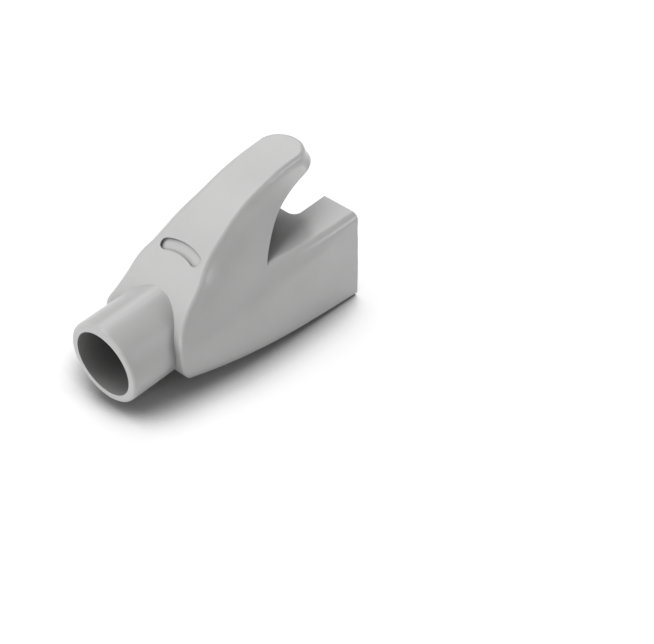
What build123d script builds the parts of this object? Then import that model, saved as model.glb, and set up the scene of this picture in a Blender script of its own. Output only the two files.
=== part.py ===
"""Strain relief boot for an RJ45 patch cable plug, moulded in one piece.

The boot stands on its base with the plug mouth towards +Y and the cable tube towards -Y.
The origin is the middle of the outer size, on the surface that the boot rests on.
Distances along the boot are measured back from the mouth. Sizes are in millimetres.
"""
from build123d import *
import math
import os

# Plug mouth and box
overall_length = 27.0
mouth_width = 14.7
mouth_height = 10.35
side_wall = 1.5
latch_wall = 1.18
base_wall = 2.45

# Plug cavity
cavity_depth = 10.5
lead_in_depth = 0.35
lead_in_rise = 1.28

# Latch notch
notch_width = 6.06
notch_depth = 4.24
notch_corner_radius = 0.9

# Body outline seen from above
straight_side_length = 5.0
side_inset = 2.18
side_inset_power = 2.4
back_distance = 21.9

# Base: flat along the middle, its edges rising towards the tube
base_edge_slope = 0.085
base_sweep_length = 8.9
base_sweep_radius = 24.0
heel_radius = 5.0
heel_height = 5.0

# Sides, seen from the front: belt at the widest height, shoulders above it, strip at the top
belt_height = 5.5
lower_inset = 1.05
lower_inset_power = 0.7
lower_inset_curve = 3
shoulder_height = 9.6
shoulder_drop = 4.6
shoulder_drop_power = 1.7
shoulder_fullness = 0.93
strip_width = 4.9
strip_flare = 3.08
strip_flare_power = 4

# Hook over the latch
hook_height = 16.35
hook_thickness = 1.55
spine_top_distance = 2.5
spine_foot_height = 6.78
shoulder_radius = 3.0
throat_radius = 13.7
throat_top_distance = 1.0
tip_centre_distance = 3.06
tip_allowance = 0.02

# Cable tube and bore
tube_diameter = 8.5
tube_height = 5.32
bore_diameter = 6.8
bore_taper_length = 6.5
tube_root_depth = 5.0

# Rounded edges
hook_edge_radius = 0.4
base_edge_radius = 0.5
box_edge_radius = 0.75
tube_end_radius = 0.35
tube_end_flats = 3

# Curved recesses on the back slope and on the base
recess_width = 1.2
recess_length = 5.0
back_recess_setback = 5.75
back_recess_arc_radius = 5.1
back_recess_depth = 0.3
base_recess_setback = 5.05
base_recess_arc_radius = 14.0
base_recess_depth = 0.6

# Drawing allowances: how far a tool passes the surface that it trims
overshoot = 1.0
station_count = 7
side_points = 13

# Sizes that follow from the ones above
mouth_y = overall_length / 2
cavity_width = mouth_width - 2 * side_wall
cavity_height = mouth_height - latch_wall - base_wall
base_flat_length = back_distance - base_sweep_length
back_recess_distance = back_distance - back_recess_setback
base_recess_distance = back_distance - base_recess_setback
spine_run = back_distance - spine_top_distance
spine_rise = hook_height - spine_foot_height
spine_radius = (spine_run**2 + spine_rise**2) / (2 * spine_rise)
spine_centre_height = hook_height - spine_radius
throat_centre_height = hook_height - hook_thickness - throat_radius


def along(distance):
    """Y of a place at this distance back from the mouth."""
    return mouth_y - distance


def arc_drop(run, radius):
    """How far an arc has left its starting tangent after this run."""
    return radius - math.sqrt(radius**2 - max(run, 0.0)**2)


def belt_half_width(distance):
    """Widest half-width of the body at this distance from the mouth."""
    run = max(distance - straight_side_length, 0.0) / (back_distance - straight_side_length)
    return mouth_width / 2 - side_inset * run**side_inset_power


def base_edge_rise(distance):
    """Height of the base's long edges."""
    return base_edge_slope * max(distance, 0.0)


def base_middle_rise(distance):
    """Height of the base along its middle."""
    return arc_drop(distance - base_flat_length, base_sweep_radius)


def circle_height(distance, centre_distance, centre_height, radius):
    """Height of the upper side of a circle in the side view."""
    return centre_height + math.sqrt(radius**2 - (distance - centre_distance)**2)


def half_width(distance, height):
    """Half-width of the body: it narrows to the base and, over the shoulders, to the strip."""
    back = max(distance, 0.0) / back_distance
    low = max(belt_height - height, 0.0) / (belt_height - base_edge_rise(distance))
    body = belt_half_width(distance) - lower_inset * back**lower_inset_power * low**lower_inset_curve
    strip = min(strip_width / 2 + strip_flare * back**strip_flare_power, body)
    start = shoulder_height - shoulder_drop * back**shoulder_drop_power
    top = circle_height(distance, spine_top_distance, spine_centre_height, spine_radius)
    part = min(max((height - start) / (top - start), 0.0), 1.0)**shoulder_fullness
    return body + (strip - body) * part**2 * (3 - 2 * part)

# Places in the side view
throat_root_run = math.sqrt(throat_radius**2 - (mouth_height - throat_centre_height)**2)
heel_y = along(back_distance - heel_radius)
back_y = along(back_distance)
tip_y = along(tip_centre_distance)
hook_end = mouth_y + overshoot / 2
root_y = along(throat_top_distance + throat_root_run)
tube_end_y = along(overall_length)
tube_root_y = along(back_distance - tube_root_depth)
tube_radius = tube_diameter / 2
tube_end_corner = [
    (
        tube_end_y + tube_end_radius * (1 - math.cos(math.radians(90 * i / tube_end_flats))),
        tube_height + tube_radius - tube_end_radius * (1 - math.sin(math.radians(90 * i / tube_end_flats))),
    )
    for i in range(tube_end_flats + 1)
]
end_top = circle_height(mouth_y - hook_end, spine_top_distance, spine_centre_height, spine_radius)
end_underside = circle_height(mouth_y - hook_end, throat_top_distance, throat_centre_height, throat_radius)
tip_low = hook_height - hook_thickness - overshoot
tip_high = hook_height + overshoot
cavity_middle = base_wall + cavity_height / 2

def floor_plane(distance, height, lean, outward, depth):
    """Plane of a recess floor, under a surface that leans back by this angle and faces up or down."""
    normal = Vector(0, -math.sin(lean), outward * math.cos(lean))
    return Plane(Vector(0, along(distance), height) - normal * depth, x_dir=(1, 0, 0), z_dir=normal)

def recess_line(radius, side):
    """Middle line of a curved recess: an arc through the origin that bulges to this side."""
    half = math.degrees(math.asin((recess_length - recess_width) / 2 / radius))
    return CenterArc((0, -side * radius), radius, side * 90 - half, 2 * half, mode=Mode.PRIVATE)

# Middle lines and floors of the two curved recesses
back_recess_line = recess_line(back_recess_arc_radius, 1)
base_recess_line = recess_line(base_recess_arc_radius, -1)
back_recess_floor = floor_plane(
    back_recess_distance,
    circle_height(back_recess_distance, spine_top_distance, spine_centre_height, spine_radius),
    math.asin((back_recess_distance - spine_top_distance) / spine_radius),
    1,
    back_recess_depth,
)
base_recess_floor = floor_plane(
    base_recess_distance,
    base_middle_rise(base_recess_distance),
    math.asin((base_recess_distance - base_flat_length) / base_sweep_radius),
    -1,
    base_recess_depth,
)


# What comes off round the tip: the block in front of the tip's centre, less the side turned about it
with BuildPart() as tip_waste:
    with BuildSketch(Plane.XY.offset(tip_low)):
        with Locations((0, tip_y)):
            Rectangle(mouth_width, tip_centre_distance + overshoot, align=(Align.CENTER, Align.MIN))
    extrude(amount=tip_high - tip_low)
    with BuildSketch(Plane.XZ.offset(-tip_y)):
        with BuildLine():
            steps = [tip_low + (tip_high - tip_low) * i / (side_points - 1) for i in range(side_points)]
            turned = [(half_width(tip_centre_distance, z) + tip_allowance, z) for z in steps]
            Spline(turned)
            Polyline(turned[-1], (0, tip_high), (0, tip_low), turned[0])
        make_face()
    revolve(axis=Axis((0, tip_y, 0), (0, 0, 1)), mode=Mode.SUBTRACT)

with BuildPart() as boot:
    # The blank: cross-sections along the boot, lofted into one smooth body
    first = -overshoot
    last = back_distance + overshoot
    top = hook_height + overshoot
    for k in range(station_count):
        distance = first + (last - first) * k / (station_count - 1)
        edge = base_edge_rise(distance)
        middle = base_middle_rise(distance)
        heights = [edge + (top - edge) * i / (side_points - 1) for i in range(side_points)]
        side = [(half_width(distance, z), z) for z in heights]
        with BuildSketch(Plane.XZ.offset(-along(distance))):
            with BuildLine():
                Spline(side)
                Line(side[-1], (-side[-1][0], top))
                Spline([(-x, z) for x, z in reversed(side)])
                Spline((-side[0][0], edge), (0, middle), side[0])
            make_face()
    loft()

    # The side view trims the blank: mouth, box top, throat, hook, spine, back and heel
    with BuildSketch(Plane.YZ) as side_view:
        with BuildLine():
            Line((mouth_y, mouth_height), (mouth_y, -overshoot))
            Line((mouth_y, -overshoot), (heel_y, -overshoot))
            Line((heel_y, -overshoot), (heel_y, heel_height - heel_radius))
            CenterArc((heel_y, heel_height), heel_radius, -90, -90)
            Line((back_y, heel_height), (back_y, spine_foot_height))
            RadiusArc((back_y, spine_foot_height), (hook_end, end_top), spine_radius)
            Line((hook_end, end_top), (hook_end, end_underside))
            RadiusArc((hook_end, end_underside), (root_y, mouth_height), -throat_radius)
            Line((root_y, mouth_height), (mouth_y, mouth_height))
        make_face()
        fillet(side_view.vertices().sort_by_distance((back_y, spine_foot_height))[0], shoulder_radius)
    extrude(amount=mouth_width, both=True, mode=Mode.INTERSECT)

    # The tip is cut round in the view from above
    add(tip_waste.part, mode=Mode.SUBTRACT)

    # Rounded edges: the base all round, then the strip that runs round the tip and down the back
    base_face = boot.faces().sort_by(Axis.Z)[0]
    fillet(base_face.edges().sort_by(SortBy.LENGTH)[-2:], base_edge_radius)
    spine_face = boot.faces().filter_by(GeomType.CYLINDER).sort_by(lambda face: face.radius)[-1]
    fillet(spine_face.edges().sort_by(Axis.Z)[1:], hook_edge_radius)

    # Rounded edges: the top of the box, along both sides
    box_top = boot.faces().filter_by(Plane.XY)[0]
    fillet((box_top.edges().sort_by(Axis.X)[0], box_top.edges().sort_by(Axis.X)[-1]), box_edge_radius)

    # Cable tube, turned about its axis, its open end rounded off in a few flats
    with BuildSketch(Plane.YZ):
        with BuildLine():
            Polyline(
                *tube_end_corner,
                (tube_root_y, tube_height + tube_radius),
                (tube_root_y, tube_height),
                (tube_end_y, tube_height),
                close=True,
            )
        make_face()
    revolve(axis=Axis((0, 0, tube_height), (0, 1, 0)))

    # Plug cavity, its taper down to the cable, and the bore through the tube
    with BuildSketch(Plane.XZ.offset(-along(0))):
        with Locations((0, cavity_middle)):
            Rectangle(cavity_width, cavity_height)
    extrude(amount=cavity_depth, mode=Mode.SUBTRACT)
    with BuildSketch(Plane.XZ.offset(-along(cavity_depth))):
        with Locations((0, cavity_middle)):
            Rectangle(cavity_width, cavity_height)
    with BuildSketch(Plane.XZ.offset(-along(cavity_depth + bore_taper_length))):
        with Locations((0, tube_height)):
            Circle(bore_diameter / 2)
    loft(mode=Mode.SUBTRACT)
    with BuildSketch(Plane.XZ.offset(-along(cavity_depth + bore_taper_length))):
        with Locations((0, tube_height)):
            Circle(bore_diameter / 2)
    extrude(amount=overall_length - cavity_depth - bore_taper_length, mode=Mode.SUBTRACT)

    # Lead-in on the base side of the mouth
    with BuildSketch(Plane.YZ):
        with BuildLine():
            Polyline(
                (along(0), base_wall),
                (along(0), base_wall - lead_in_rise),
                (along(lead_in_depth), base_wall),
                close=True,
            )
        make_face()
    extrude(amount=cavity_width / 2, both=True, mode=Mode.SUBTRACT)

    # Notch for the latch, through the wall under the hook
    with BuildSketch(Plane.XY.offset(mouth_height - latch_wall)):
        with Locations((0, along(0))):
            notch = Rectangle(notch_width, 2 * notch_depth)
        fillet(notch.vertices().group_by(Axis.Y)[0], notch_corner_radius)
    extrude(amount=latch_wall, mode=Mode.SUBTRACT)

    # Curved recess on the back slope
    with BuildSketch(back_recess_floor):
        SlotArc(back_recess_line, recess_width)
    extrude(amount=back_recess_depth + overshoot, mode=Mode.SUBTRACT)

    # Curved recess on the base
    with BuildSketch(base_recess_floor):
        SlotArc(base_recess_line, recess_width)
    extrude(amount=base_recess_depth + overshoot, mode=Mode.SUBTRACT)

boot.part.label = "boot"
os.makedirs("parts", exist_ok=True)
export_step(boot.part, "parts/boot.step")
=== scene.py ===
"""The strain relief boot in its light grey moulded plastic, standing on a pale floor in soft light.

The boot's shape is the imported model's own. This script gives it its finish, and makes the floor,
the room, the lamps and the camera. Lengths are in metres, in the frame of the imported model.
"""
from __future__ import annotations

import logging
from collections.abc import Mapping
from dataclasses import dataclass, field
from enum import Enum

import bpy
import numpy as np
from mathutils import Matrix, Vector


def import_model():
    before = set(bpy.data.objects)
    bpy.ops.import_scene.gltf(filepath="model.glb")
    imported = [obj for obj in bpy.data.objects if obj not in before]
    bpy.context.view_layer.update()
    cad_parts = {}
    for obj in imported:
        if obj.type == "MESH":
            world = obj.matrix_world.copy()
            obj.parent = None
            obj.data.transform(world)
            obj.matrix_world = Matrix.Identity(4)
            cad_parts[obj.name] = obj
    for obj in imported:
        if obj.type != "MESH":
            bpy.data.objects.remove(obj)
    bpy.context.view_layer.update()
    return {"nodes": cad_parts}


Colour = tuple[float, float, float, float]
Place = tuple[float, float, float]

LOG = logging.getLogger("boot_scene")
MM = 0.001
NOISE_MIDDLE = 0.5
OPENNESS_RAYS = 16


def plain_grey(level: float) -> Colour:
    """The grey of a level from 0, black, to 1, white."""
    return (level, level, level, 1.0)


class Blend(Enum):
    """Ways in which one colour is laid over another."""

    MULTIPLY = "MULTIPLY"
    MIX = "MIX"


@dataclass(frozen=True)
class Span:
    """A range of numbers, by its two ends."""

    low: float
    high: float


@dataclass(frozen=True)
class Spots:
    """A cloud of soft spots: their size, the number of finer layers, and how strong those are."""

    size: float
    layers: float
    strength: float = 0.5


class Wire:
    """A shader socket whose numbers can be reckoned with: each operator adds a Math node."""

    def __init__(self, bench: Bench, socket: bpy.types.NodeSocket | None) -> None:
        """Keeps the socket and the bench that its nodes are made on."""
        self.bench = bench
        self.socket = socket

    def _reckon(self, operation: str, first: Wire | float, second: Wire | float) -> Wire:
        """Adds a Math node that works on two numbers."""
        return self.bench.node("ShaderNodeMath", {"operation": operation}, {0: first, 1: second})

    def __add__(self, other: Wire | float) -> Wire:
        """This plus the other."""
        return self._reckon("ADD", self, other)

    def __radd__(self, other: float) -> Wire:
        """The other plus this."""
        return self._reckon("ADD", other, self)

    def __sub__(self, other: Wire | float) -> Wire:
        """This less the other."""
        return self._reckon("SUBTRACT", self, other)

    def __rsub__(self, other: float) -> Wire:
        """The other less this."""
        return self._reckon("SUBTRACT", other, self)

    def __mul__(self, other: Wire | float) -> Wire:
        """This times the other."""
        return self._reckon("MULTIPLY", self, other)

    def __rmul__(self, other: float) -> Wire:
        """The other times this."""
        return self._reckon("MULTIPLY", other, self)


class Bench:
    """One node tree, and the one way in which its nodes are made."""

    def __init__(self, tree: bpy.types.NodeTree) -> None:
        """Takes an empty or a default tree and clears it."""
        self.tree = tree
        self.tree.nodes.clear()

    def node(
        self,
        kind: str,
        settings: Mapping[str, object] | None = None,
        inputs: Mapping[str | int, object] | None = None,
        output: str | int = 0,
    ) -> Wire:
        """Makes one node.

        Args:
            kind: The node's type.
            settings: Its own settings, set before its sockets.
            inputs: Values or wires of its sockets, by name or place.
            output: The output that is handed back.

        Returns:
            The wire of that output, with no socket where the node has none.
        """
        made = self.tree.nodes.new(kind)
        for name, value in (settings or {}).items():
            setattr(made, name, value)
        for name, value in (inputs or {}).items():
            if isinstance(value, Wire):
                self.tree.links.new(value.socket, made.inputs[name])
            else:
                made.inputs[name].default_value = value
        return Wire(self, made.outputs[output] if made.outputs else None)

    def noise(self, place: Wire, spots: Spots) -> Wire:
        """Makes a cloud of numbers from 0 to 1.

        Args:
            place: Where the cloud is read.
            spots: Its spots.

        Returns:
            The wire of its numbers.
        """
        sockets = {
            "Vector": place,
            "Scale": 1 / spots.size,
            "Detail": spots.layers,
            "Roughness": spots.strength,
        }
        return self.node("ShaderNodeTexNoise", {"noise_dimensions": "3D"}, sockets, "Fac")

    def spread(self, value: Wire, span: Span) -> Wire:
        """Stretches a range of numbers to 0 to 1, smoothly and held at its ends.

        Args:
            value: The numbers.
            span: What becomes 0 and what becomes 1.

        Returns:
            The wire of the stretched numbers.
        """
        settings = {"interpolation_type": "SMOOTHSTEP", "clamp": True}
        ends = {"Value": value, "From Min": span.low, "From Max": span.high}
        return self.node("ShaderNodeMapRange", settings, ends, "Result")

    def openness(self, reach: float, own: bool, facing: Wire | None = None) -> Wire:
        """Tells how open each point is: 1 in the open, and less in a hollow or beside a wall.

        Args:
            reach: How far off a wall still counts.
            own: Whether only the surface's own object counts.
            facing: The way it looks, where that isn't straight off the surface.

        Returns:
            The wire of the numbers.
        """
        settings = {"samples": OPENNESS_RAYS, "only_local": own}
        sockets = {"Distance": reach} if facing is None else {"Distance": reach, "Normal": facing}
        return self.node("ShaderNodeAmbientOcclusion", settings, sockets, "AO")

    def seen(self) -> Wire:
        """Tells the rays that look at a thing from the rays that only light it.

        Returns:
            The wire of 1 for rays of the eye, of gloss and through clear things, else of 0.
        """
        eye, gloss, clear = (
            self.node("ShaderNodeLightPath", output=f"Is {kind} Ray")
            for kind in ("Camera", "Glossy", "Transmission")
        )
        settings = {"operation": "ADD", "use_clamp": True}
        return self.node("ShaderNodeMath", settings, {0: eye + gloss, 1: clear})

    def colour(
        self, blend: Blend, share: Wire | float, under: Wire | Colour, over: Wire | Colour
    ) -> Wire:
        """Lays one colour over another.

        Args:
            blend: The way of laying it.
            share: How much of it, from 0 to 1.
            under: The colour below.
            over: The colour above.

        Returns:
            The wire of the mixed colour.
        """
        settings = {"data_type": "RGBA", "blend_type": blend.value}
        return self.node("ShaderNodeMix", settings, {0: share, 6: under, 7: over}, 2)

    def surface(self, share: Wire | float, under: Wire, over: Wire) -> Wire:
        """Lays one surface or light over another, by a share from 0 to 1."""
        return self.node("ShaderNodeMixShader", None, {0: share, 1: under, 2: over})


@dataclass(frozen=True)
class MouldedPlastic:
    """Soft light grey plastic as it leaves the mould: satin, with a fine even grain.

    A thin glossier skin lies over it, its sharp edges look a little rounded, and shade is painted
    into its colour in its hollows.
    """

    name: str = "boot_moulded_plastic"
    grey: float = 0.56
    warmth: float = 0.002
    cloud: Spots = Spots(4.0 * MM, 3.0)
    cloud_span: Span = Span(0.35, 0.65)
    cloud_depth: float = 0.025
    speck: Spots = Spots(0.16 * MM, 2.0, 0.6)
    speck_span: Span = Span(0.55, 0.75)
    speck_depth: float = 0.02
    # Painted shade in the hollows: how far a wall counts, the range stretched, and the darkest
    # level.
    painted_shade_reach: float = 8.0 * MM
    painted_shade_span: Span = Span(0.1, 0.9)
    painted_hollow_shade: float = 0.22
    roughness: float = 0.34
    roughness_swing: float = 0.07
    grain: Spots = Spots(0.09 * MM, 2.0, 0.55)
    grain_height: float = 0.0035 * MM
    sink: Spots = Spots(5.0 * MM, 1.0)
    sink_height: float = 0.02 * MM
    edge_radius: float = 0.06 * MM
    edge_rays: int = 6
    skin: float = 0.22
    skin_roughness: float = 0.14
    refraction: float = 1.49

    def tone(self, share: float) -> Colour:
        """The plastic's slightly warm grey, at a share of its full lightness."""
        lifts = (self.warmth, 0.0, -self.warmth)
        return tuple(share * (self.grey + lift) for lift in lifts) + (1.0,)

    def shade(self, bench: Bench, place: Wire, cloud: Wire) -> Wire:
        """Makes the colour: the grey with slow clouds and fine specks, with painted shade in the
        hollows.

        Args:
            bench: The node tree it is made on.
            place: Where on the boot it is read.
            cloud: The slow clouds.

        Returns:
            The wire of the colour.
        """
        speck = bench.spread(bench.noise(place, self.speck), self.speck_span)
        # Painted shade: the colour is darkened where the surface is closed in, as in the bore and
        # under the hook.
        closed = 1 - bench.spread(bench.openness(self.painted_shade_reach, True), self.painted_shade_span)
        dark, light = self.tone(1 - self.cloud_depth), self.tone(1.0)
        shade = bench.colour(Blend.MIX, bench.spread(cloud, self.cloud_span), dark, light)
        shade = bench.colour(Blend.MULTIPLY, speck, shade, plain_grey(1 - self.speck_depth))
        return bench.colour(Blend.MULTIPLY, closed, shade, plain_grey(self.painted_hollow_shade))

    def relief(self, bench: Bench, place: Wire, grain: Wire) -> Wire:
        """Makes the relief: the grain of the mould's wall over the slow waves that cooling leaves.

        Args:
            bench: The node tree it is made on.
            place: Where on the boot it is read.
            grain: The grain.

        Returns:
            The wire of the way that the surface faces.
        """
        height = grain * self.grain_height + bench.noise(place, self.sink) * self.sink_height
        rays = {"samples": self.edge_rays}
        edge = bench.node("ShaderNodeBevel", rays, {"Radius": self.edge_radius})
        # The height is in metres as it comes, so the node's own two factors are 1.
        sockets = {"Height": height, "Strength": 1.0, "Distance": 1.0, "Normal": edge}
        return bench.node("ShaderNodeBump", None, sockets)

    def build(self) -> bpy.types.Material:
        """Makes the material, whose roughness swings with the clouds and the grain.

        Returns:
            The finished material.
        """
        material = bpy.data.materials.new(self.name)
        material.use_nodes = True
        bench = Bench(material.node_tree)
        place = bench.node("ShaderNodeTexCoord", output="Object")
        cloud = bench.noise(place, self.cloud)
        grain = bench.noise(place, self.grain)
        swing = (cloud + grain - 2 * NOISE_MIDDLE) * self.roughness_swing
        sockets = {
            "Base Color": self.shade(bench, place, cloud),
            "Roughness": self.roughness + swing,
            "Normal": self.relief(bench, place, grain),
            "IOR": self.refraction,
            "Coat Weight": self.skin,
            "Coat Roughness": self.skin_roughness,
        }
        body = bench.node("ShaderNodeBsdfPrincipled", None, sockets)
        bench.node("ShaderNodeOutputMaterial", None, {"Surface": body})
        return material


@dataclass
class Boot:
    """The boot itself: one moulded piece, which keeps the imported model's shape."""

    node: bpy.types.Object
    finish: MouldedPlastic = field(default_factory=MouldedPlastic)

    def dress(self) -> None:
        """Makes the moulded plastic once and gives it to every slot of the boot."""
        material = self.finish.build()
        for slot in self.node.material_slots:
            slot.material = material


@dataclass(frozen=True)
class PaleFloor:
    """A white floor that is plain white to the eye, and that shows the boot's shadow.

    It is paper with a light of its own to the eye, and plain white paper to light that bounces.
    The lamps cast a faint shadow on the paper; most of the shadow is painted, by dimming that light
    near the boot.
    """

    name: str = "floor"
    half_width: float = 1.2
    paint: str = "floor_white"
    bounce: float = 0.92
    paper: float = 0.3
    glow: float = 0.84
    glow_fade: Span = Span(70.0 * MM, 160.0 * MM)
    # Painted shadow: how far it reaches, the way it leans, and the steps of its core and halo.
    painted_shadow_reach: float = 6.5 * MM
    painted_shadow_lean: Place = (0.2, 0.2, 1.0)
    core: Span = Span(0.45, 0.86)
    halo: Span = Span(0.6, 1.0)
    painted_shadow_core_share: float = 0.8

    def light(self, bench: Bench) -> Wire:
        """Makes the floor's own light, with a painted shadow under the boot, growing to white far
        off.

        It goes out with how closed in a point of the floor is, which paints the shadow. Most of the
        light goes by a steep step, which paints the shadow's dark core, and the rest by a soft one,
        which paints its halo. The floor leans its look to one side for this, so the painted shadow
        lies further to the other side.

        Args:
            bench: The node tree it is made on.

        Returns:
            The wire of the light.
        """
        place = bench.node("ShaderNodeTexCoord", output="Object")
        distance = bench.node("ShaderNodeVectorMath", {"operation": "LENGTH"}, {0: place}, "Value")
        lean = Vector(self.painted_shadow_lean).normalized()
        facing = bench.node("ShaderNodeCombineXYZ", None, {"X": lean.x, "Y": lean.y, "Z": lean.z})
        # Painted shadow: the floor's own light dims where the boot closes it in.
        openness = bench.openness(self.painted_shadow_reach, False, facing)
        core = bench.spread(openness, self.core) * self.painted_shadow_core_share
        halo = bench.spread(openness, self.halo) * (1 - self.painted_shadow_core_share)
        # The black emission is the painted shadow; the other two light the open floor.
        dark, near, far = (
            bench.node("ShaderNodeEmission", None, {"Color": plain_grey(level)})
            for level in (0.0, self.glow, 1.0)
        )
        bright = bench.surface(bench.spread(distance, self.glow_fade), near, far)
        return bench.surface(core + halo, dark, bright)

    def material(self) -> bpy.types.Material:
        """Makes the floor's material.

        Returns:
            The finished material.
        """
        material = bpy.data.materials.new(self.paint)
        material.use_nodes = True
        bench = Bench(material.node_tree)
        plain, paper = (
            bench.node("ShaderNodeBsdfDiffuse", None, {"Color": plain_grey(level)})
            for level in (self.bounce, self.paper)
        )
        lit = bench.node("ShaderNodeAddShader", None, {0: paper, 1: self.light(bench)})
        whole = bench.surface(bench.seen(), plain, lit)
        bench.node("ShaderNodeOutputMaterial", None, {"Surface": whole})
        return material

    def build(self) -> bpy.types.Object:
        """Makes the floor, a square whose corners are the half-width times each pair of signs.

        Returns:
            The floor's object.
        """
        signs = np.array([[-1, -1, 0], [1, -1, 0], [1, 1, 0], [-1, 1, 0]], dtype=float)
        mesh = bpy.data.meshes.new(self.name)
        mesh.from_pydata((signs * self.half_width).tolist(), [], [(0, 1, 2, 3)])
        mesh.materials.append(self.material())
        floor = bpy.data.objects.new(self.name, mesh)
        bpy.context.collection.objects.link(floor)
        return floor


@dataclass(frozen=True)
class Room:
    """The room around the boot: white where it is seen, and almost dark as a light."""

    name: str = "room"
    light: float = 0.02
    look: float = 1.0

    def build(self) -> bpy.types.World:
        """Makes the room as the scene's world.

        Returns:
            The world.
        """
        world = bpy.data.worlds.new(self.name)
        world.use_nodes = True
        bpy.context.scene.world = world
        bench = Bench(world.node_tree)
        white = plain_grey(1.0)
        soft, plain = (
            bench.node("ShaderNodeBackground", None, {"Color": white, "Strength": strength})
            for strength in (self.light, self.look)
        )
        whole = bench.surface(bench.seen(), soft, plain)
        bench.node("ShaderNodeOutputWorld", None, {"Surface": whole})
        return world


@dataclass(frozen=True)
class SoftBox:
    """A flat square lamp that is turned to the boot."""

    name: str
    place: Place
    size: float
    watts: float
    aim: Place = (0.0, 0.0, 8.0 * MM)

    def build(self) -> bpy.types.Object:
        """Makes the lamp and turns it to its aim.

        Returns:
            The lamp's object.
        """
        lamp = bpy.data.lights.new(self.name, "AREA")
        lamp.shape = "SQUARE"
        lamp.size = self.size
        lamp.energy = self.watts
        box = bpy.data.objects.new(self.name, lamp)
        away = Vector(self.place) - Vector(self.aim)
        turn = away.to_track_quat("Z", "Y").to_matrix().to_4x4()
        box.matrix_world = Matrix.Translation(self.place) @ turn
        bpy.context.collection.objects.link(box)
        return box


@dataclass(frozen=True)
class Eye:
    """The camera, in the place and with the turn that were fitted to the photograph.

    The lens and the sensor's width are in millimetres.
    """

    name: str = "eye"
    place: Place = (88.38 * MM, -80.49 * MM, 110.07 * MM)
    right: Place = (0.74602, 0.66586, -0.00855)
    down: Place = (0.44517, -0.50822, -0.73725)
    lens: float = 91.28
    sensor: float = 36.0
    nearest: float = 1.0 * MM

    def build(self) -> bpy.types.Object:
        """Makes the camera. Its axes are right, up and back, made square to each other in turn.

        Returns:
            The camera's object.
        """
        across = Vector(self.right).normalized()
        up = -Vector(self.down)
        up = (up - across * up.dot(across)).normalized()
        turn = Matrix((across, up, across.cross(up))).transposed().to_4x4()
        data = bpy.data.cameras.new(self.name)
        data.lens = self.lens
        data.sensor_width = self.sensor
        data.sensor_fit = "HORIZONTAL"
        data.clip_start = self.nearest
        camera = bpy.data.objects.new(self.name, data)
        camera.matrix_world = Matrix.Translation(self.place) @ turn
        bpy.context.collection.objects.link(camera)
        bpy.context.scene.camera = camera
        return camera


@dataclass
class Studio:
    """All that stands round the boot: floor, room, lamps and camera."""

    floor: PaleFloor = field(default_factory=PaleFloor)
    room: Room = field(default_factory=Room)
    lamps: tuple[SoftBox, ...] = (
        SoftBox("lamp_front", (0.0, -244.5 * MM, 60.0 * MM), 120.0 * MM, watts=0.252),
        SoftBox("lamp_mouth", (172.9 * MM, 172.9 * MM, 60.0 * MM), 120.0 * MM, watts=0.209),
        SoftBox("lamp_back_left", (-135.4 * MM, 135.4 * MM, 168.7 * MM), 120.0 * MM, watts=0.12),
        SoftBox("lamp_front_left", (-135.4 * MM, -135.4 * MM, 168.7 * MM), 120.0 * MM, watts=0.114),
        SoftBox("lamp_top_right", (105.7 * MM, 0.0, 234.6 * MM), 140.0 * MM, watts=0.06),
        SoftBox("lamp_top_left", (-105.7 * MM, 0.0, 234.6 * MM), 140.0 * MM, watts=0.215),
    )
    eye: Eye = field(default_factory=Eye)

    def build(self) -> None:
        """Makes the floor, the room, the lamps and the camera, and sets plain colours."""
        self.floor.build()
        LOG.info("floor of half-width %s m", self.floor.half_width)
        self.room.build()
        LOG.info("room of light %s", self.room.light)
        for lamp in self.lamps:
            lamp.build()
            LOG.info("lamp %s at %s", lamp.name, lamp.place)
        self.eye.build()
        LOG.info("camera at %s", self.eye.place)
        bpy.context.scene.view_settings.view_transform = "Standard"


def main() -> None:
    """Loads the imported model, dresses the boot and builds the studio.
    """
    logging.basicConfig(level=logging.INFO, format="%(name)s: %(message)s")
    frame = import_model()
    boot = Boot(frame["nodes"]["boot"])
    boot.dress()
    LOG.info("boot dressed in %s", boot.finish.name)
    Studio().build()


if __name__ == "__main__":
    main()
